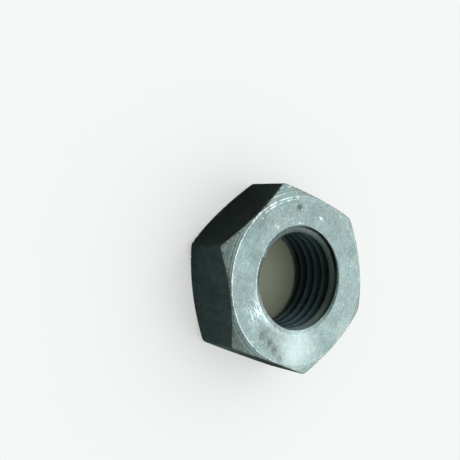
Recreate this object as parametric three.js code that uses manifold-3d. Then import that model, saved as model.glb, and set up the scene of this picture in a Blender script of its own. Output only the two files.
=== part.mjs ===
// Thin hexagon nut with a fine right-hand thread, in millimetres.
// The origin is the centre of the lower bearing face and +Z runs along the thread axis.
// Two of the six wrench flats face +X and -X.

import * as THREE from 'three';
import { mergeVertices } from 'three/addons/utils/BufferGeometryUtils.js';
import Module from 'manifold-3d';

// Driving dimensions
const ACROSS_FLATS = 19;
const THICKNESS = 7.4;
const CORNER_ROUNDING = 0.7;
const BEARING_FACE_RADIUS = 9.35;
const CHAMFER_ANGLE = THREE.MathUtils.degToRad(31);

const THREAD_MAJOR_DIAMETER = 12;
const THREAD_PITCH = 1.25;
const THREAD_DEPTH = 0.5413 * THREAD_PITCH;

// How far the tap cuts the root of the thread beyond the major diameter, on the radius
const THREAD_ROOT_CLEARANCE = 0.12;

// Where the groove of the thread begins to pass the +X side, above the lower face
const THREAD_START = 0.9;

// Each mouth of the bore is countersunk: a cone that slopes down at this angle from the face.
const COUNTERSINK_RADIUS = 6.06;
const COUNTERSINK_ANGLE = THREE.MathUtils.degToRad(30);

// Values that follow from the driving dimensions
const SHARP_CORNER_RADIUS = ACROSS_FLATS / Math.sqrt(3);
const THREAD_MAJOR_RADIUS = THREAD_MAJOR_DIAMETER / 2;
const THREAD_MINOR_RADIUS = THREAD_MAJOR_RADIUS - THREAD_DEPTH;
const THREAD_ROOT_RADIUS = THREAD_MAJOR_RADIUS + THREAD_ROOT_CLEARANCE;
const FLANK_PITCHES = (THREAD_ROOT_RADIUS - THREAD_MINOR_RADIUS) / Math.sqrt(3) / THREAD_PITCH;

// How finely round shapes are divided
const TURNED_SEGMENTS = 96;
const THREAD_SEGMENTS = 60;
const CORNER_SEGMENTS = 4;

// How far the cutting shapes reach past the nut's faces
const CUT_MARGIN = 0.5;

const HEXAGON_SIDES = 6;

const wasm = await Module();
wasm.setup();

function solidFrom(geometry) {
  const bare = geometry.clone();
  bare.deleteAttribute('normal');
  bare.deleteAttribute('uv');
  const closed = mergeVertices(bare, 1e-5);
  return new wasm.Manifold(new wasm.Mesh({
    numProp: 3,
    vertProperties: closed.attributes.position.array,
    triVerts: new Uint32Array(closed.index.array),
  }));
}

function geometryFrom(solid) {
  const mesh = solid.getMesh();
  const indexed = new THREE.BufferGeometry();
  indexed.setAttribute('position', new THREE.BufferAttribute(mesh.vertProperties, 3));
  indexed.setIndex(new THREE.BufferAttribute(mesh.triVerts, 1));
  const faceted = indexed.toNonIndexed();
  faceted.computeVertexNormals();
  return faceted;
}

// A lathe turns about +Y, so it is tipped to turn about +Z.
function turned(profile) {
  const points = profile.map(([radius, height]) => new THREE.Vector2(radius, height));
  return new THREE.LatheGeometry(points, TURNED_SEGMENTS).rotateX(Math.PI / 2);
}

function hexagonOutline() {
  const outline = new THREE.Shape();
  const arcCentreRadius = SHARP_CORNER_RADIUS - CORNER_ROUNDING / Math.cos(Math.PI / HEXAGON_SIDES);
  for (let corner = 0; corner < HEXAGON_SIDES; corner += 1) {
    const angle = ((corner + 0.5) * 2 * Math.PI) / HEXAGON_SIDES;
    const halfTurn = Math.PI / HEXAGON_SIDES;
    outline.absarc(
      arcCentreRadius * Math.cos(angle),
      arcCentreRadius * Math.sin(angle),
      CORNER_ROUNDING,
      angle - halfTurn,
      angle + halfTurn,
      false,
    );
  }
  outline.closePath();
  return outline;
}

function hexagonBar() {
  return new THREE.ExtrudeGeometry(hexagonOutline(), {
    depth: THICKNESS + 2 * CUT_MARGIN,
    bevelEnabled: false,
    curveSegments: CORNER_SEGMENTS,
  }).translate(0, 0, -CUT_MARGIN);
}

// The turned blank gives both bearing faces and the chamfers that cut the corners back.
function turnedBlank() {
  const rimRadius = SHARP_CORNER_RADIUS + CUT_MARGIN;
  const chamferHeight = (rimRadius - BEARING_FACE_RADIUS) * Math.tan(CHAMFER_ANGLE);
  return turned([
    [0, 0],
    [BEARING_FACE_RADIUS, 0],
    [rimRadius, chamferHeight],
    [rimRadius, THICKNESS - chamferHeight],
    [BEARING_FACE_RADIUS, THICKNESS],
    [0, THICKNESS],
  ]);
}

function lowerCountersink() {
  const slope = Math.tan(COUNTERSINK_ANGLE);
  return turned([
    [0, -CUT_MARGIN],
    [COUNTERSINK_RADIUS + CUT_MARGIN / slope, -CUT_MARGIN],
    [0, COUNTERSINK_RADIUS * slope],
  ]);
}

function upperCountersink() {
  return lowerCountersink().rotateX(Math.PI).translate(0, 0, THICKNESS);
}

// One pitch of the 60 degree profile, as [height in pitches, radius]: a flat at the root, a
// flank, a flat at the minor diameter and the flank back.
const THREAD_PROFILE = [
  [0, THREAD_ROOT_RADIUS],
  [1 / 8, THREAD_ROOT_RADIUS],
  [1 / 8 + FLANK_PITCHES, THREAD_MINOR_RADIUS],
  [1 - FLANK_PITCHES, THREAD_MINOR_RADIUS],
];

// The tap is the threaded core that is cut out of the nut. Its surface is a grid: a column
// at each angle, and rows that climb one pitch in each turn, so the last column meets the
// first one a pitch higher up.
function tap() {
  const rowsPerPitch = THREAD_PROFILE.length;
  const turns = Math.ceil(THICKNESS / THREAD_PITCH) + 3;
  const topRow = turns * rowsPerPitch;
  const startHeight = THREAD_START - 3 * THREAD_PITCH;
  const positions = [];
  const indices = [];

  function addPoint(radius, angle, height) {
    positions.push(radius * Math.cos(angle), radius * Math.sin(angle), height);
    return positions.length / 3 - 1;
  }

  const columns = [];
  for (let column = 0; column < THREAD_SEGMENTS; column += 1) {
    const turn = column / THREAD_SEGMENTS;
    const lastRow = column === 0 ? topRow + rowsPerPitch : topRow;
    const points = [];
    for (let row = 0; row <= lastRow; row += 1) {
      const [fraction, radius] = THREAD_PROFILE[row % rowsPerPitch];
      const pitches = Math.floor(row / rowsPerPitch) + fraction + turn;
      points.push(addPoint(radius, turn * 2 * Math.PI, startHeight + pitches * THREAD_PITCH));
    }
    columns.push(points);
  }
  columns.push(columns[0].slice(rowsPerPitch));

  for (let column = 0; column < THREAD_SEGMENTS; column += 1) {
    for (let row = 0; row < topRow; row += 1) {
      const low = columns[column][row];
      const high = columns[column][row + 1];
      const nextLow = columns[column + 1][row];
      const nextHigh = columns[column + 1][row + 1];
      indices.push(low, nextLow, nextHigh, low, nextHigh, high);
    }
  }

  // Each end is closed by a fan from the axis to the rim of the grid, which is one turn of
  // the helix and the step of one pitch where the last column meets the first.
  function closeEnd(row, height, facingUp) {
    const axis = addPoint(0, 0, height);
    const rim = columns.map((points) => points[row]);
    for (let step = rowsPerPitch - 1; step > 0; step -= 1) {
      rim.push(columns[0][row + step]);
    }
    for (let i = 0; i < rim.length; i += 1) {
      const here = rim[i];
      const next = rim[(i + 1) % rim.length];
      indices.push(axis, facingUp ? here : next, facingUp ? next : here);
    }
  }
  closeEnd(0, startHeight, false);
  closeEnd(topRow, startHeight + (turns + 1) * THREAD_PITCH, true);

  const geometry = new THREE.BufferGeometry();
  geometry.setAttribute('position', new THREE.Float32BufferAttribute(positions, 3));
  geometry.setIndex(indices);
  return geometry;
}

const blackOxideSteel = new THREE.MeshStandardMaterial({
  name: 'black_oxide_steel',
  color: 0x3b4346,
  roughness: 0.42,
  metalness: 0.85,
});

function hexNut() {
  const solid = solidFrom(hexagonBar())
    .intersect(solidFrom(turnedBlank()))
    .subtract(solidFrom(lowerCountersink()))
    .subtract(solidFrom(upperCountersink()))
    .subtract(solidFrom(tap()));
  const mesh = new THREE.Mesh(geometryFrom(solid), blackOxideSteel);
  mesh.name = 'hex_nut';
  return mesh;
}

const nut = new THREE.Group();
nut.add(hexNut());

export default nut;
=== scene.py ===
"""A thin hexagon nut in blackened steel, built around its CAD solid.

The nut is one mesh: a grid of sections round the thread axis. Each section is a closed outline
that climbs the thread, crosses the upper face, goes down the wrench flat and comes back along
the lower face. Lengths are in millimetres, except in Blender's own data, which is in metres, and
where a comment says so.
"""

import math
from types import SimpleNamespace

import bmesh
import bpy
import numpy as np
from mathutils import Matrix, Vector, noise


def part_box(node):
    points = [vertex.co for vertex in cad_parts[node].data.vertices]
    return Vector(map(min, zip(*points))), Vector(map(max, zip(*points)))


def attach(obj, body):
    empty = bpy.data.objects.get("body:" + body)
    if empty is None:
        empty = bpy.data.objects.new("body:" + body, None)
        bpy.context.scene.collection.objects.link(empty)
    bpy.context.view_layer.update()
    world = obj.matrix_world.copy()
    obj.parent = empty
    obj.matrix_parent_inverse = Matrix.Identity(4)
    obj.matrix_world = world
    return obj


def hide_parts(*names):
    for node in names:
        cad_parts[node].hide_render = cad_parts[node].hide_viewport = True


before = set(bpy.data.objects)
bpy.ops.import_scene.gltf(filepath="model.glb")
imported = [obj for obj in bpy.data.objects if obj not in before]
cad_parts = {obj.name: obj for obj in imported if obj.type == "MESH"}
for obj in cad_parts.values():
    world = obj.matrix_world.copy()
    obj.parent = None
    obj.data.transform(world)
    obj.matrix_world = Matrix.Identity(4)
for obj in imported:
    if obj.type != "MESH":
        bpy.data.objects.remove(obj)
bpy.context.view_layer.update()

# Metres in a millimetre
MM = 0.001

# The lowest and highest corners of the CAD solid, in metres, and the sizes that they set
NUT_LOW, NUT_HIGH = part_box("hex_nut")
HALF_FLATS = (NUT_HIGH.x - NUT_LOW.x) / 2 / MM
THICKNESS = (NUT_HIGH.z - NUT_LOW.z) / MM

# Sizes inside the CAD solid's box, as in its source
CORNER_ROUNDING = 0.7
BEARING_FACE_RADIUS = 9.35
CHAMFER_SLOPE = math.tan(math.radians(31))
THREAD_PITCH = 1.25
THREAD_MAJOR_RADIUS = 6.0
THREAD_DEPTH = 0.5413 * THREAD_PITCH
THREAD_ROOT_CLEARANCE = 0.12
THREAD_MINOR_RADIUS = THREAD_MAJOR_RADIUS - THREAD_DEPTH
THREAD_ROOT_RADIUS = THREAD_MAJOR_RADIUS + THREAD_ROOT_CLEARANCE
THREAD_ROOT_FLAT = 1 / 8
THREAD_FLANK = (THREAD_ROOT_RADIUS - THREAD_MINOR_RADIUS) / math.sqrt(3) / THREAD_PITCH
THREAD_STATIONS = (0, THREAD_ROOT_FLAT, THREAD_ROOT_FLAT + THREAD_FLANK, 1 - THREAD_FLANK)
THREAD_START = 0.9
COUNTERSINK_RADIUS = 6.06
COUNTERSINK_SLOPE = math.tan(math.radians(30))
COUNTERSINK_DEPTH = (COUNTERSINK_RADIUS - THREAD_MINOR_RADIUS) * COUNTERSINK_SLOPE

SIDES = 6
SECTOR = 2 * math.pi / SIDES

# How finely the mesh is divided
COLUMNS_PER_SECTOR = 84
CORNER_CROWDING = 0.6
FACE_ROWS = 27
FLAT_ROWS = 20
COUNTERSINK_ROWS = 13
EDGE_ROWS = 4
CHAMFER_OUTER_RADII = (9.95, 10.15, 10.4, 10.65)
MERGE_DISTANCE = 0.0005

# Fine shape left by the tools that cut the nut
EDGE_ROUNDING = 0.09
RIM_ROUNDING = 0.05
GROOVE_RADII = (9.49, 9.8)
GROOVE_DEPTH = 0.022
GROOVE_HALF_WIDTH = 0.07
WAVINESS = 0.012
WAVE_LENGTH = 3.5

# Shifts, in pitches, over which the corners of the thread's profile are averaged
THREAD_WEAR = np.linspace(-0.035, 0.035, 5)

# How far past the countersink's cone the wall is thread in full, and what is added to the
# distance from the edge of that cut, so that it wears less than other edges
THREAD_FADE = 0.15
THREAD_EDGE_WEAR_LOSS = 0.04

# Marks cut into the mesh. The scuff's strokes are scattered about its centre by a spread in x and
# in y, and lean by an angle in degrees, give or take a spread. Half lengths, widths and depths
# are the least and the most. A pit is a place on the upper face, a width and a depth.
MARKS_SEED = 1912
SCUFF_CENTRE = (-5.0, 4.5)
SCUFF_SPREAD = (0.8, 0.9)
SCUFF_LEAN = (57, 13)
SCUFF_STROKES = 26
SCUFF_HALF_LENGTHS = (0.15, 0.75)
SCUFF_WIDTHS = (0.11, 0.2)
SCUFF_DEPTHS = (0.005, 0.016)
PITS = (
    ((7.5, 3.1), 0.26, 0.1),
    ((-4.75, 6.4), 0.13, 0.06),
    ((-0.9, 7.8), 0.14, 0.05),
    ((8.0, 4.2), 0.1, 0.03),
)
EDGE_NICKS = 90
NICK_WIDTHS = (0.07, 0.2)
NICK_DEPTHS = (0.02, 0.06)
STRAY_SCRATCHES = 110
SCRATCH_HALF_LENGTHS = (0.05, 0.8)
SCRATCH_WIDTHS = (0.05, 0.1)
SCRATCH_DEPTH = 0.012

# The burr beside each mark: its height as a share of the depth, and in widths where it lies and
# how wide it is
BURR_HEIGHT = 0.45
BURR_OFFSET = 1.5
BURR_WIDTH = 0.45

# Patches of the upper face that are lighter or darker: x, y, radius and gain
TONE_PATCHES = (
    (-7.0, -2.8, 4.2, 0.3),
    (-2.5, -7.5, 3.6, 0.3),
    (3.9, -6.8, 3.0, 0.2),
    (-7.6, 1.5, 1.6, 0.3),
    (7.5, 3.1, 0.6, -0.5),
    (-2.7, -7.0, 1.5, -0.2),
    (5.7, -6.5, 1.8, -0.15),
    (8.2, 0.5, 3.0, -0.1),
    (4.2, 7.4, 2.8, -0.2),
    (8.0, 4.2, 0.5, -0.3),
)

# A dark smear on the upper face: the places and radii that it runs through
SMEAR = ((-7.2, 2.7, 0.9), (-7.7, 1.6, 1.2), (-8.1, 0.6, 1.3), (-8.7, -0.5, 1.1))

# How much lighter the chamfers are than the face, and the painted sheen added to that towards -Y
CHAMFER_GAIN = 0.15
CHAMFER_SHEEN_GAIN = 1.25

# How much darker the smear makes the metal, and how much darker the painted shade inside the mouth of
# the bore makes it
SMEAR_GAIN = -0.68
MOUTH_SHADE_GAIN = -0.4

# Sides of the nut, as directions across the thread axis, that differ from the rest of it: by a painted
# sheen on the chamfers, by rubbed edges and mouths, and by painted shade in the thread and in the mouth
# of the bore
CHAMFER_SHEEN_SIDE = (0, -1, 0)
RUBBED_EDGE_SIDE = (-0.2, 1, 0)
RUBBED_MOUTH_SIDE = (0.3, 1, 0)
SHADED_THREAD_SIDE = (0.93, -0.37, 0)
SHADED_MOUTH_SIDE = (0.34, -0.94, 0)

# Places on the upper face, as x, y and radius, where each kind of wear is strongest
FLECKED_PLACE = (7.5, 2.5, 7.0)
SMOOTHED_PLACE = (-7.2, -2.4, 4.6)
RUBBED_MOUTH_PLACE = (-5.0, 3.6, 5.0)
SCUFFED_PLACE = (-4.9, 4.4, 2.3)
FLAKY_PLACE = (6.9, 6.2, 3.5)

# How far each kind of wear bares the metal at its strongest
EDGE_WEAR = 0.55
SCUFF_WEAR = 0.42
MOUTH_WEAR = 0.36
FLAKY_WEAR = 0.75
SMOOTHED_WEAR = 0.17

# Reflectance of the metal, square on: its oxide, the oxide under oil, and where it is worn
COOL_OXIDE_COLOUR = (0.047, 0.060, 0.0590, 1)
WARM_OXIDE_COLOUR = (0.052, 0.060, 0.0565, 1)
OILY_OXIDE_COLOUR = (0.040, 0.060, 0.070, 1)
WORN_COLOUR = (0.28, 0.30, 0.296, 1)
GRAZING_TINT = (0.65, 0.65, 0.65, 1)

# The floor, whose half side is in metres, and the painted shade of it under the bore: a darker, olive
# patch where the floor does not glow
FLOOR_HALF_SIDE = 0.6
FLOOR_COLOUR = (0.316, 0.322, 0.317, 1)
FLOOR_GLOW = (0.419, 0.421, 0.414, 1)
FLOOR_ROUGHNESS = 0.9
SHADED_FLOOR_COLOUR = (0.27, 0.295, 0.22, 1)
SHADED_FLOOR_RADII = (7.0, 8.6)

# The sheet that darkens reflections, which glows more towards one side
FLAG_START = math.radians(-10)
FLAG_END = math.radians(240)
FLAG_RADII = (9.6, 19.0)
FLAG_HEIGHT = 0.2
FLAG_COLUMNS = 40
FLAG_GLOW = (0.36, 0.50, 0.51, 1)
FLAG_GLOW_SIDE = (-0.7, 0.7, 0)
FLAG_LEAST_GLOW = 0.16
FLAG_ADDED_GLOW = 0.86

# The camera, whose distance, clipping and aim beside the nut's centre are in metres
CAMERA_AZIMUTH = math.radians(198.03)
CAMERA_ELEVATION = math.radians(53.46)
CAMERA_ROLL = math.radians(93.3)
CAMERA_DISTANCE = 0.0933
CAMERA_LENS = 63.8
CAMERA_SENSOR = 36
CAMERA_CLIP_START = 0.001
AIM_RIGHT = -0.00553
AIM_UP = 0.00548

# The daylight. The window fades out between two angles from its middle. In reflections it is
# dimmed to the sill's share at the horizon, and full where a unit direction rises to its top.
WINDOW_AZIMUTH = math.radians(28)
WINDOW_ELEVATION = math.radians(37)
WINDOW_INNER = math.radians(15)
WINDOW_OUTER = math.radians(85)
WINDOW_SILL_SHARE = 0.42
WINDOW_SILL_TOP = 0.7
WINDOW_LIGHT = (8.6, 9.5, 9.7, 1)
ROOM_LIGHT = (1.05, 1.19, 0.98, 1)
SOFT_WINDOW_LIGHT = (2.3, 2.4, 2.4, 1)
SOFT_ROOM_LIGHT = (0.97, 0.99, 0.975, 1)


def column_angles():
    """Angles of the sections over one full turn, crowded together at the corners."""
    steps = np.arange(SIDES * COLUMNS_PER_SECTOR + 1) / COLUMNS_PER_SECTOR
    crowding = CORNER_CROWDING * np.sin(2 * np.pi * steps) / (2 * np.pi)
    return SECTOR * (steps + crowding)


def hexagon_radius(angle):
    """Distance from the axis to the side of the nut, whose corners are rounded."""
    from_flat = (angle + SECTOR / 2) % SECTOR - SECTOR / 2
    flat = HALF_FLATS / np.cos(from_flat)
    arc_centre = (HALF_FLATS - CORNER_ROUNDING) / math.cos(SECTOR / 2)
    from_corner = SECTOR / 2 - np.abs(from_flat)
    across = arc_centre * np.sin(from_corner)
    along = np.sqrt(np.clip(CORNER_ROUNDING**2 - across**2, 0, None))
    arc = arc_centre * np.cos(from_corner) + along
    return np.where(across < CORNER_ROUNDING * math.sin(SECTOR / 2), arc, flat)


def thread_radius(angle, height):
    """Radius of the threaded wall: the 60 degree profile with its corners a little worn."""
    radii = [THREAD_ROOT_RADIUS, THREAD_ROOT_RADIUS, THREAD_MINOR_RADIUS, THREAD_MINOR_RADIUS]
    phase = (height - THREAD_START) / THREAD_PITCH - angle / (2 * np.pi)
    worn = [np.interp(phase + shift, THREAD_STATIONS, radii, period=1) for shift in THREAD_WEAR]
    return np.mean(worn, axis=0)


def countersink_radius(depth):
    """Radius of the cone that opens the bore, at a depth below the bearing face."""
    return COUNTERSINK_RADIUS - depth / COUNTERSINK_SLOPE


def thread_rows(angle):
    """Rows of the threaded wall between the two countersinks, as radius and height.

    The rows climb one pitch a turn. Those past an end of the wall are held at that end, where
    they fall together and are merged later.
    """
    edge = THREAD_WEAR[-1]
    flank_middles = [THREAD_ROOT_FLAT + THREAD_FLANK / 2, 1 - THREAD_FLANK / 2]
    stations = sorted([c + s for c in THREAD_STATIONS for s in (-edge, edge)] + flank_middles)
    turns = range(-2, math.ceil(THICKNESS / THREAD_PITCH))
    pitches = np.array([turn + station for turn in turns for station in stations])
    height = THREAD_START + THREAD_PITCH * (pitches[None, :] + angle / (2 * np.pi))
    height = np.clip(height, COUNTERSINK_DEPTH, THICKNESS - COUNTERSINK_DEPTH)
    return thread_radius(angle, height), height


def countersink_rows(angle, height_of):
    """Rows of one countersink, which the end of the thread runs into, as radius and depth."""
    depth = np.linspace(COUNTERSINK_DEPTH, 0, COUNTERSINK_ROWS)[None, :] + 0 * angle
    radius = np.maximum(countersink_radius(depth), thread_radius(angle, height_of(depth)))
    return radius, depth


def face_rows(angle):
    """Rows of one bearing face, from the mouth of the bore to the rim of the chamfer."""
    radius = np.linspace(COUNTERSINK_RADIUS, BEARING_FACE_RADIUS - RIM_ROUNDING, FACE_ROWS)[1:]
    radius = radius[None, :] + 0 * angle
    return radius, 0 * radius


def chamfer_depth(radius):
    """Depth of the chamfer below the bearing face, with the lathe's grooves in it."""
    depth = (radius - BEARING_FACE_RADIUS) * CHAMFER_SLOPE
    for groove in GROOVE_RADII:
        depth = depth + GROOVE_DEPTH * np.clip(1 - np.abs(radius - groove) / GROOVE_HALF_WIDTH, 0, 1)
    return depth


def chamfer_rows(angle):
    """Rows of one chamfer, from the rim of the bearing face to the side of the nut.

    Rows further out than the side are held at the edge and merged later.
    """
    grooves = [g + s * GROOVE_HALF_WIDTH for g in GROOVE_RADII for s in (-1, 0, 1)]
    stops = [BEARING_FACE_RADIUS + RIM_ROUNDING, *grooves, *CHAMFER_OUTER_RADII]
    edge = hexagon_radius(angle) - EDGE_ROUNDING
    radius = np.minimum(np.array(stops)[None, :], edge)
    return radius, chamfer_depth(radius)


def edge_rows(angle):
    """Rows round the edge between one chamfer and the side of the nut."""
    side = hexagon_radius(angle)
    turn = np.linspace(0, 1, EDGE_ROWS)[None, :]
    sharp = (side - BEARING_FACE_RADIUS) * CHAMFER_SLOPE
    start = chamfer_depth(side - EDGE_ROUNDING)
    radius = side - EDGE_ROUNDING * (1 - turn) ** 2
    depth = (1 - turn) ** 2 * start + 2 * turn * (1 - turn) * sharp + turn**2 * (sharp + EDGE_ROUNDING)
    return radius, depth


def end_rows(angle, height_of):
    """Rows of one end of the nut, from the thread to the side, as radius and height."""
    parts = [
        countersink_rows(angle, height_of),
        face_rows(angle),
        chamfer_rows(angle),
        edge_rows(angle),
    ]
    radius = np.concatenate([part[0] for part in parts], axis=1)
    depth = np.concatenate([part[1] for part in parts], axis=1)
    return radius, height_of(depth)


def nut_sections():
    """Angle, radius and height of every point of the grid, one row of the arrays a section."""
    angle = column_angles()[:, None]
    upper = end_rows(angle, lambda depth: THICKNESS - depth)
    lower = end_rows(angle, lambda depth: depth)
    fraction = np.linspace(0, 1, FLAT_ROWS + 2)[None, 1:-1]
    side_height = upper[1][:, -1:] * (1 - fraction) + lower[1][:, -1:] * fraction
    side = hexagon_radius(angle) + 0 * fraction, side_height
    thread = thread_rows(angle)
    backwards = lower[0][:, ::-1], lower[1][:, ::-1]
    parts = [thread, upper, side, backwards]
    radius = np.concatenate([part[0] for part in parts], axis=1)
    height = np.concatenate([part[1] for part in parts], axis=1)
    return angle, radius, height


def nut_mesh():
    angle, radius, height = nut_sections()
    points = np.stack([radius * np.cos(angle), radius * np.sin(angle), height], axis=2)
    columns, rows = radius.shape
    index = np.arange(columns * rows).reshape(columns, rows)
    quads = np.stack([index[:-1, :-1], index[:-1, 1:], index[1:, 1:], index[1:, :-1]], axis=2)
    mesh = bpy.data.meshes.new("hex_nut_surface")
    mesh.from_pydata((points.reshape(-1, 3) * MM).tolist(), [], quads.reshape(-1, 4).tolist())
    merge_points(mesh)
    mark_edges(mesh)
    wear_surface(mesh)
    return mesh


def merge_points(mesh):
    """Closes the grid's seams and drops the rows that were held together."""
    work = bmesh.new()
    work.from_mesh(mesh)
    bmesh.ops.remove_doubles(work, verts=work.verts, dist=MERGE_DISTANCE * MM)
    bmesh.ops.dissolve_degenerate(work, edges=work.edges, dist=MERGE_DISTANCE * MM)
    work.to_mesh(mesh)
    work.free()
    mesh.shade_smooth()


def read_vectors(collection, name):
    values = np.empty(len(collection) * 3)
    collection.foreach_get(name, values)
    return values.reshape(-1, 3)


def mark_edges(mesh):
    """Stores what the material asks of each point.

    That is its distance from the nearest edge that handling wears, how far it is cut into the
    thread, and whether it is on a chamfer.
    """
    x, y, z = (read_vectors(mesh.vertices, "co") / MM).T
    radius = np.hypot(x, y)
    angle = np.arctan2(y, x)
    depth = np.minimum(z, THICKNESS - z)
    side = hexagon_radius(angle)
    edge_depth = (side - BEARING_FACE_RADIUS) * CHAMFER_SLOPE
    inside_thread = thread_radius(angle, z) - countersink_radius(depth)
    distances = [
        np.hypot(radius - BEARING_FACE_RADIUS, depth),
        np.hypot(radius - COUNTERSINK_RADIUS, depth),
        np.hypot(radius - side, depth - edge_depth),
        np.hypot(inside_thread, np.clip(radius - THREAD_MAJOR_RADIUS, 0, None)) + THREAD_EDGE_WEAR_LOSS,
    ]
    store(mesh, "edge_distance", np.min(distances, axis=0))
    cut = np.clip(inside_thread / THREAD_FADE, 0, 1)
    store(mesh, "in_thread", np.where(radius < THREAD_ROOT_RADIUS + 0.01, cut, 0))
    cone_depth = (radius - BEARING_FACE_RADIUS) * CHAMFER_SLOPE
    store(mesh, "on_chamfer", (cone_depth > 0) & (np.abs(depth - cone_depth) < 2 * GROOVE_DEPTH))


def store(mesh, name, values):
    attribute = mesh.attributes.new(name, "FLOAT", "POINT")
    attribute.data.foreach_set("value", np.asarray(values, dtype=float))


def wear_surface(mesh):
    """Moves the mesh's points along their normals: slow waves, scuffs, pits, nicks, scratches."""
    rng = np.random.default_rng(MARKS_SEED)
    points = read_vectors(mesh.vertices, "co") / MM
    normals = read_vectors(mesh.vertex_normals, "vector")
    outside = np.hypot(points[:, 0], points[:, 1]) > COUNTERSINK_RADIUS + 0.01
    waves = np.array([noise.noise(Vector(point) / WAVE_LENGTH) for point in points.tolist()])
    height = WAVINESS * waves
    for start, end, width, depth in handling_marks(points[outside], normals[outside], rng):
        height += stroke_height(points, start, end, width, depth)
    height = np.where(outside, height, 0)
    moved = (points + normals * height[:, None]) * MM
    mesh.vertices.foreach_set("co", moved.ravel())
    mesh.update()


def stroke_height(points, start, end, width, depth):
    """A groove from start to end, with a lower burr thrown up along each side."""
    run = end - start
    along = np.clip((points - start) @ run / max(run @ run, 1e-9), 0, 1)
    across = np.linalg.norm(points - start - along[:, None] * run, axis=1) / width
    burr = BURR_HEIGHT * np.exp(-(((across - BURR_OFFSET) / BURR_WIDTH) ** 2))
    return depth * (burr - np.exp(-(across**2)))


def handling_marks(points, normals, rng):
    """Start, end, width and depth of every mark on the outside of the nut."""
    return [*scuff(rng), *pits(), *edge_nicks(rng), *stray_scratches(points, normals, rng)]


def on_face(x, y):
    return np.array([x, y, THICKNESS])


def scuff(rng):
    """Short strokes side by side, where something hard was dragged over the upper face."""
    marks = []
    for _ in range(SCUFF_STROKES):
        centre = on_face(*rng.normal(SCUFF_CENTRE, SCUFF_SPREAD))
        lean = math.radians(rng.normal(*SCUFF_LEAN))
        run = on_face(math.cos(lean), math.sin(lean)) - on_face(0, 0)
        run = run * rng.uniform(*SCUFF_HALF_LENGTHS)
        width = rng.uniform(*SCUFF_WIDTHS)
        marks.append((centre - run, centre + run, width, rng.uniform(*SCUFF_DEPTHS)))
    return marks


def pits():
    return [(on_face(*place), on_face(*place), width, depth) for place, width, depth in PITS]


def edge_nicks(rng):
    """Small dents along the corners of the hexagon at both ends and round the bearing faces."""
    marks = []
    for _ in range(EDGE_NICKS):
        angle = rng.uniform(0, 2 * math.pi)
        side = float(hexagon_radius(np.array(angle)))
        radius = rng.choice([side, side, BEARING_FACE_RADIUS])
        depth = (radius - BEARING_FACE_RADIUS) * CHAMFER_SLOPE
        height = rng.choice([depth, THICKNESS - depth])
        place = np.array([radius * math.cos(angle), radius * math.sin(angle), height])
        width = rng.uniform(*NICK_WIDTHS)
        marks.append((place, place, width, rng.uniform(*NICK_DEPTHS)))
    return marks


def stray_scratches(points, normals, rng):
    """Thin scratches in any direction, each lying along the surface it starts from."""
    marks = []
    for index in rng.integers(0, len(points), STRAY_SCRATCHES):
        direction = rng.normal(size=3)
        direction -= normals[index] * (direction @ normals[index])
        run = direction / np.linalg.norm(direction) * rng.uniform(*SCRATCH_HALF_LENGTHS)
        width = rng.uniform(*SCRATCH_WIDTHS)
        marks.append((points[index] - run, points[index] + run, width, SCRATCH_DEPTH))
    return marks


class Nodes:
    """A node tree, with short calls for the nodes that the materials and the daylight share."""

    def __init__(self, owner):
        owner.use_nodes = True
        self.tree = owner.node_tree

    def node(self, kind, inputs, **settings):
        """Adds a node, links or sets its inputs, and returns its first output."""
        node = self.tree.nodes.new("ShaderNode" + kind)
        for setting, value in settings.items():
            setattr(node, setting, value)
        for socket, value in inputs.items():
            self.feed(node.inputs[socket], value)
        return node.outputs[0]

    def output(self, name, kind, inputs, **settings):
        """Adds a node as above, and returns the output of the given name or number."""
        return self.node(kind, inputs, **settings).node.outputs[name]

    def feed(self, socket, value):
        if isinstance(value, bpy.types.NodeSocket):
            self.tree.links.new(value, socket)
        else:
            socket.default_value = value

    def math(self, operation, *values):
        return self.node("Math", dict(enumerate(values)), operation=operation)

    def add(self, first, second):
        return self.math("ADD", first, second)

    def times(self, first, second):
        return self.math("MULTIPLY", first, second)

    def minus(self, first, second):
        return self.math("SUBTRACT", first, second)

    def rising(self, start, gain, value):
        """The start, plus the gain as far as the value has gone from 0 to 1."""
        return self.math("MULTIPLY_ADD", value, gain, start)

    def around(self, value, middle, spread):
        """A value that strays from the middle as noise strays from one half."""
        return self.rising(middle, spread, self.minus(value, 0.5))

    def between(self, value, low, high):
        """0 where the value is at low, 1 where it is at high, and smooth in between."""
        inputs = {"Value": value, "From Min": low, "From Max": high}
        return self.node("MapRange", inputs, interpolation_type="SMOOTHSTEP")

    def along(self, position, direction):
        """How far the position lies in a direction."""
        inputs = {0: position, 1: direction}
        return self.output("Value", "VectorMath", inputs, operation="DOT_PRODUCT")

    def height(self, position):
        return self.output("Z", "SeparateXYZ", {0: position})

    def blend(self, factor, first, second):
        """A number between two others."""
        return self.node("Mix", {0: factor, 2: first, 3: second})

    def mix(self, factor, first, second):
        """A colour between two others."""
        inputs = {0: factor, 6: first, 7: second}
        return self.output(2, "Mix", inputs, data_type="RGBA")


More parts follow.
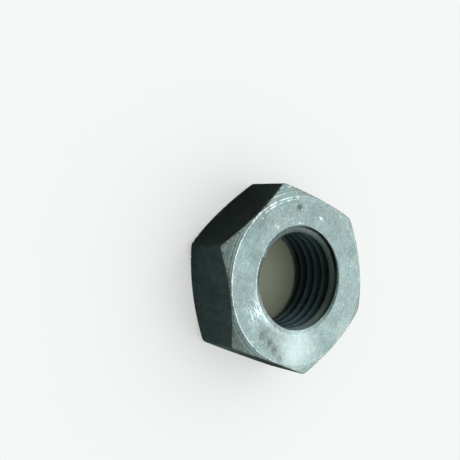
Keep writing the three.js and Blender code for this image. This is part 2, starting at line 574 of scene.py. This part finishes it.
class Shading(Nodes):
    """One material's nodes, which work in millimetres from the centre of the lower face."""

    def __init__(self, name):
        self.material = bpy.data.materials.new(name)
        super().__init__(self.material)
        self.shader = self.tree.nodes["Principled BSDF"]

    def finish_with(self, **values):
        """Feeds the shader's sockets, whose names are given in lower case."""
        for name, value in values.items():
            self.feed(self.shader.inputs[name.replace("_", " ").title()], value)
        return self.material

    def position(self):
        coordinates = self.output("Object", "TexCoord", {})
        return self.stretch(coordinates, 1 / MM, 1 / MM, 1 / MM)

    def attribute(self, name):
        return self.output("Fac", "Attribute", {}, attribute_name=name)

    def depth(self, position):
        """Depth below the nearer bearing face."""
        height = self.height(position)
        return self.math("MINIMUM", height, self.minus(THICKNESS, height))

    def length(self, vector):
        return self.output("Value", "VectorMath", {0: vector}, operation="LENGTH")

    def radius(self, position):
        """Distance from the thread axis."""
        return self.length(self.stretch(position, 1, 1, 0))

    def rings(self, position):
        """Coordinates that only change with the distance from the thread axis."""
        return self.node("CombineXYZ", {"X": self.radius(position)})

    def turn(self, position, degrees):
        """The position turned about the thread axis."""
        inputs = {"Vector": position, "Angle": math.radians(degrees)}
        return self.node("VectorRotate", inputs)

    def stretch(self, vector, x, y, z):
        return self.node("VectorMath", {0: vector, 1: (x, y, z)}, operation="MULTIPLY")

    def shift(self, vector, x, y, z):
        return self.node("VectorMath", {0: vector, 1: (x, y, z)}, operation="ADD")

    def noise(self, vector, size, detail, roughness=0.5):
        """Soft noise between 0 and 1 whose blotches are about the given size in millimetres."""
        inputs = {"Vector": vector, "Scale": 1 / size, "Detail": detail, "Roughness": roughness}
        return self.node("TexNoise", inputs)

    def spot(self, position, x, y, radius):
        """1 at a place on the upper face, fading to 0 at the radius."""
        distance = self.length(self.shift(position, -x, -y, -THICKNESS))
        return self.between(distance, radius, 0.0)

    def near_mouth(self, position, reach):
        """1 at the mouth of the bore, fading to 0 at the reach."""
        outside = self.minus(self.radius(position), COUNTERSINK_RADIUS)
        return self.between(outside, reach, 0.0)

    def scale_colour(self, colour, factor):
        return self.node("VectorMath", {0: colour, "Scale": factor}, operation="SCALE")


def shared_noises(s, place):
    """The noises that tone, wear, roughness and bump are made from, shifted to differ."""
    return SimpleNamespace(
        clouds=s.noise(place, 2.6, 3, 0.6),
        blotches=s.noise(s.shift(place, 31, 7, 3), 0.7, 3, 0.65),
        grain=s.noise(s.shift(place, 5, 17, 11), 0.22, 3, 0.75),
        drawn=s.noise(s.stretch(place, 1.0, 1.0, 0.08), 0.3, 2, 0.6),
        turned=s.noise(s.rings(place), 0.26, 2, 0.6),
        brushed=s.noise(s.stretch(place, 1.0, 4.0, 1.0), 0.9, 2, 0.6),
    )


def metal_tone(s, place, noises):
    """How light the oxide is by its mottling, its drawn and turned lines and its chamfers, with a
    painted sheen on the chamfers towards -Y.
    """
    tone = s.times(s.around(noises.clouds, 1.0, 0.8), s.around(noises.blotches, 1.0, 0.6))
    tone = s.times(tone, s.times(s.around(noises.grain, 1.0, 1.1), s.around(noises.brushed, 1.0, 0.5)))
    on_chamfer = s.attribute("on_chamfer")
    ring_strength = s.rising(0.4, 0.5, on_chamfer)
    lines = s.times(s.around(noises.drawn, 1.0, 0.25), s.around(noises.turned, 1.0, ring_strength))
    tone = s.times(tone, lines)
    # Painted sheen: the chamfers are made lighter towards -Y
    sheen_side = s.between(s.along(place, CHAMFER_SHEEN_SIDE), -2.0, 5.5)
    chamfer_gain = s.rising(CHAMFER_GAIN, CHAMFER_SHEEN_GAIN, sheen_side)
    return s.times(tone, s.rising(1.0, chamfer_gain, on_chamfer))


def with_face_marks(s, place, tone):
    """The tone, changed by the patches and the streaky dark smear of the upper face."""
    for x, y, radius, gain in TONE_PATCHES:
        tone = s.times(tone, s.rising(1.0, gain, s.spot(place, x, y, radius)))
    smeared = 0.0
    for x, y, radius in SMEAR:
        smeared = s.math("MAXIMUM", smeared, s.spot(place, x, y, radius))
    streaks = s.noise(s.stretch(s.turn(place, -45), 1.0, 3.5, 1.0), 0.8, 3, 0.6)
    smeared = s.times(smeared, s.between(streaks, 0.3, 0.55))
    return s.times(tone, s.rising(1.0, SMEAR_GAIN, smeared))


def thread_root_shade(s, place, depth):
    """Painted shade at the root of the thread, most of it near the mouths and on one side."""
    at_root = s.between(s.radius(place), THREAD_MAJOR_RADIUS - 0.22, THREAD_MAJOR_RADIUS - 0.08)
    shaded_side = s.between(s.along(place, SHADED_THREAD_SIDE), 4.2, 5.4)
    shaded_side = s.times(shaded_side, s.between(depth, 2.0, 1.0))
    return s.times(at_root, s.rising(0.2, 0.65, shaded_side))


def with_thread(s, place, depth, in_thread, tone):
    """The tone, darker in the thread for its own oily black finish, with painted shade that deepens
    away from the mouths and painted shade at the thread's root.
    """
    # Painted shade: the thread darkens with depth below each mouth, on top of its own darker finish
    thread_tone = s.rising(0.33, 0.5, s.between(depth, 1.4, 0.0))
    thread_tone = s.times(thread_tone, s.minus(1.0, thread_root_shade(s, place, depth)))
    return s.times(tone, s.blend(in_thread, 1.0, thread_tone))


def with_mouth_shade(s, place, depth, tone):
    """The tone, darkened by painted shade on one side of the bore near its mouths."""
    in_bore = s.between(s.radius(place), THREAD_ROOT_RADIUS, COUNTERSINK_RADIUS - 0.05)
    shaded = s.times(in_bore, s.between(s.along(place, SHADED_MOUTH_SIDE), 2.0, 5.5))
    shaded = s.times(shaded, s.between(depth, 2.6, 1.0))
    return s.times(tone, s.rising(1.0, MOUTH_SHADE_GAIN, shaded))


def oxide_colour(s, place, depth, in_thread, tone):
    """The colour of unworn metal: cool and warm oxide in patches, and oily deep in the thread."""
    deep = s.times(in_thread, s.between(depth, 0.8, 1.8))
    hue = s.between(s.noise(s.shift(place, 50, 3, 9), 1.3, 3), 0.35, 0.65)
    oxide = s.mix(hue, COOL_OXIDE_COLOUR, WARM_OXIDE_COLOUR)
    oxide = s.mix(deep, oxide, OILY_OXIDE_COLOUR)
    return s.scale_colour(oxide, tone)


def edge_wear(s, place, noises, edge):
    """Bare metal along the edges, less of it at the mouths of the bore than at the corners."""
    ragged = s.minus(edge, s.times(noises.blotches, 0.2))
    worn = s.times(s.between(ragged, 0.0, -0.06), s.between(noises.grain, 0.3, 0.6))
    rubbed_side = s.between(s.along(place, RUBBED_EDGE_SIDE), 0.0, 8.0)
    worn = s.times(worn, s.rising(0.2, 0.8, rubbed_side))
    rubbed_mouth = s.between(s.along(place, RUBBED_MOUTH_SIDE), 2.0, 6.0)
    mouth_share = s.rising(0.35, 0.45, rubbed_mouth)
    on_mouth = s.between(s.radius(place), 7.5, 7.0)
    return s.times(s.times(worn, s.blend(on_mouth, 0.85, mouth_share)), EDGE_WEAR)


def fleck_wear(s, place):
    """Bright specks, strongest on one side of the upper face."""
    flecks = s.between(s.noise(s.shift(place, 9, 40, 1), 0.45, 1, 0.5), 0.68, 0.74)
    return s.times(flecks, s.rising(0.1, 0.34, s.spot(place, *FLECKED_PLACE)))


def scuff_wear(s, place):
    """The streaks of the scuff that is cut into the mesh."""
    streaks = s.noise(s.stretch(s.turn(place, 32), 5.0, 1.1, 1.0), 0.9, 3, 0.65)
    scuffed = s.times(s.spot(place, *SCUFFED_PLACE), s.between(streaks, 0.46, 0.6))
    return s.times(scuffed, SCUFF_WEAR)


def mouth_wear(s, place, noises):
    """A rubbed band of the upper face along the mouth of the bore."""
    rubbed = s.times(s.near_mouth(place, 0.8), s.spot(place, *RUBBED_MOUTH_PLACE))
    return s.times(rubbed, s.times(s.between(noises.brushed, 0.3, 0.6), MOUTH_WEAR))


def flaky_wear(s, place, noises, edge):
    """Flaky turned lines near the rim of the upper face, by one corner."""
    flaky = s.times(s.between(edge, 1.2, 0.1), s.between(noises.turned, 0.5, 0.62))
    patchy = s.times(s.between(noises.blotches, 0.42, 0.55), s.spot(place, *FLAKY_PLACE))
    return s.times(s.times(flaky, patchy), FLAKY_WEAR)


def all_wear(s, place, noises):
    """The strongest wear at each point, and a smoothed patch on top of it."""
    edge = s.attribute("edge_distance")
    wear = edge_wear(s, place, noises, edge)
    others = [
        fleck_wear(s, place),
        scuff_wear(s, place),
        mouth_wear(s, place, noises),
        flaky_wear(s, place, noises, edge),
    ]
    for other in others:
        wear = s.math("MAXIMUM", wear, other)
    return s.add(wear, s.times(s.spot(place, *SMOOTHED_PLACE), SMOOTHED_WEAR))


def surface_bump(s, noises):
    """The relief of the oxide, whose heights are in millimetres."""
    height = s.add(s.times(noises.blotches, 0.008), s.times(noises.grain, 0.007))
    height = s.add(height, s.times(noises.turned, 0.004))
    return s.node("Bump", {"Height": s.times(height, MM), "Distance": 1.0})


def black_oxide():
    s = Shading("black_oxide")
    place = s.position()
    depth = s.depth(place)
    in_thread = s.attribute("in_thread")
    noises = shared_noises(s, place)

    tone = metal_tone(s, place, noises)
    tone = with_face_marks(s, place, tone)
    tone = with_thread(s, place, depth, in_thread, tone)
    tone = with_mouth_shade(s, place, depth, tone)
    oxide = oxide_colour(s, place, depth, in_thread, tone)
    wear = s.times(all_wear(s, place, noises), s.minus(1.0, in_thread))
    roughness = s.add(s.around(noises.blotches, 0.42, 0.2), s.times(in_thread, 0.12))

    s.shader.inputs["Specular Tint"].default_value = GRAZING_TINT
    return s.finish_with(
        base_color=s.mix(wear, oxide, WORN_COLOUR),
        metallic=1.0,
        roughness=roughness,
        normal=surface_bump(s, noises),
    )


def floor_paper():
    s = Shading("floor_paper")
    s.shader.inputs["Specular IOR Level"].default_value = 0
    inner, outer = SHADED_FLOOR_RADII
    # Painted shade: the floor under the bore is darker and olive, and does not glow
    under_bore = s.between(s.radius(s.position()), outer, inner)
    return s.finish_with(
        base_color=s.mix(under_bore, FLOOR_COLOUR, SHADED_FLOOR_COLOUR),
        roughness=FLOOR_ROUGHNESS,
        emission_color=FLOOR_GLOW,
        emission_strength=s.minus(1.0, under_bore),
    )


def flag_cloth():
    s = Shading("flag_cloth")
    s.shader.inputs["Specular IOR Level"].default_value = 0
    glowing = s.between(s.along(s.position(), FLAG_GLOW_SIDE), 4.0, 13.0)
    return s.finish_with(
        base_color=(0, 0, 0, 1),
        emission_color=FLAG_GLOW,
        emission_strength=s.rising(FLAG_LEAST_GLOW, FLAG_ADDED_GLOW, glowing),
    )


def make_object(name, data):
    made = bpy.data.objects.new(name, data)
    bpy.context.scene.collection.objects.link(made)
    return made


def make_nut():
    nut = make_object("machined_hex_nut", nut_mesh())
    nut.data.materials.append(black_oxide())
    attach(nut, "root")
    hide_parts("hex_nut")


def make_floor():
    mesh = bpy.data.meshes.new("floor")
    corners = [(-1, -1), (1, -1), (1, 1), (-1, 1)]
    places = [(x * FLOOR_HALF_SIDE, y * FLOOR_HALF_SIDE, 0) for x, y in corners]
    mesh.from_pydata(places, [], [(0, 1, 2, 3)])
    mesh.materials.append(floor_paper())
    floor = make_object("floor", mesh)


def make_flag():
    """A dark sheet that only the nut's reflections see, where other dark parts would stand."""
    rims = [
        (radius * math.cos(angle) * MM, radius * math.sin(angle) * MM, FLAG_HEIGHT * MM)
        for angle in np.linspace(FLAG_START, FLAG_END, FLAG_COLUMNS)
        for radius in FLAG_RADII
    ]
    quads = [(2 * i, 2 * i + 1, 2 * i + 3, 2 * i + 2) for i in range(FLAG_COLUMNS - 1)]
    mesh = bpy.data.meshes.new("flag")
    mesh.from_pydata(rims, [], quads)
    mesh.materials.append(flag_cloth())
    flag = make_object("flag", mesh)
    flag.visible_camera = False
    flag.visible_diffuse = False
    flag.visible_shadow = False


def spherical(azimuth, elevation):
    """The direction at an azimuth, counted from -Y towards +X, and an elevation."""
    return Vector((
        math.sin(azimuth) * math.cos(elevation),
        -math.cos(azimuth) * math.cos(elevation),
        math.sin(elevation),
    ))


def make_camera():
    data = bpy.data.cameras.new("camera")
    data.lens = CAMERA_LENS
    data.sensor_width = CAMERA_SENSOR
    data.clip_start = CAMERA_CLIP_START
    camera = make_object("camera", data)
    back = spherical(CAMERA_AZIMUTH, CAMERA_ELEVATION)
    turn = (-back).to_track_quat("-Z", "Y").to_matrix() @ Matrix.Rotation(CAMERA_ROLL, 3, "Z")
    centre = (NUT_LOW + NUT_HIGH) / 2
    aim = centre + turn @ Vector((AIM_RIGHT, AIM_UP, 0))
    camera.matrix_world = Matrix.Translation(aim + back * CAMERA_DISTANCE) @ turn.to_4x4()
    bpy.context.scene.camera = camera


def make_daylight():
    """A wide bright window on one side that fades into a dimmer, warmer room.

    Only reflections see it in full. Matt surfaces get a softer version, so that the paper
    stays evenly lit, and for that the light is found by following rays and not by sampling.
    """
    world = bpy.data.worlds.new("daylight")
    bpy.context.scene.world = world
    s = Nodes(world)
    direction = s.output("Generated", "TexCoord", {})
    facing = s.along(direction, spherical(WINDOW_AZIMUTH, WINDOW_ELEVATION))
    opening = s.between(facing, math.cos(WINDOW_OUTER), math.cos(WINDOW_INNER))
    above_sill = s.between(s.height(direction), 0.0, WINDOW_SILL_TOP)
    window = s.times(opening, s.rising(WINDOW_SILL_SHARE, 1 - WINDOW_SILL_SHARE, above_sill))
    sharp = s.mix(window, ROOM_LIGHT, WINDOW_LIGHT)
    soft = s.mix(opening, SOFT_ROOM_LIGHT, SOFT_WINDOW_LIGHT)
    is_reflection = s.output("Is Glossy Ray", "LightPath", {})
    background = s.tree.nodes["Background"]
    s.feed(background.inputs["Color"], s.mix(is_reflection, soft, sharp))
    world.cycles.sampling_method = "NONE"


make_nut()
make_floor()
make_flag()
make_camera()
make_daylight()
bpy.context.scene.view_settings.view_transform = "Standard"
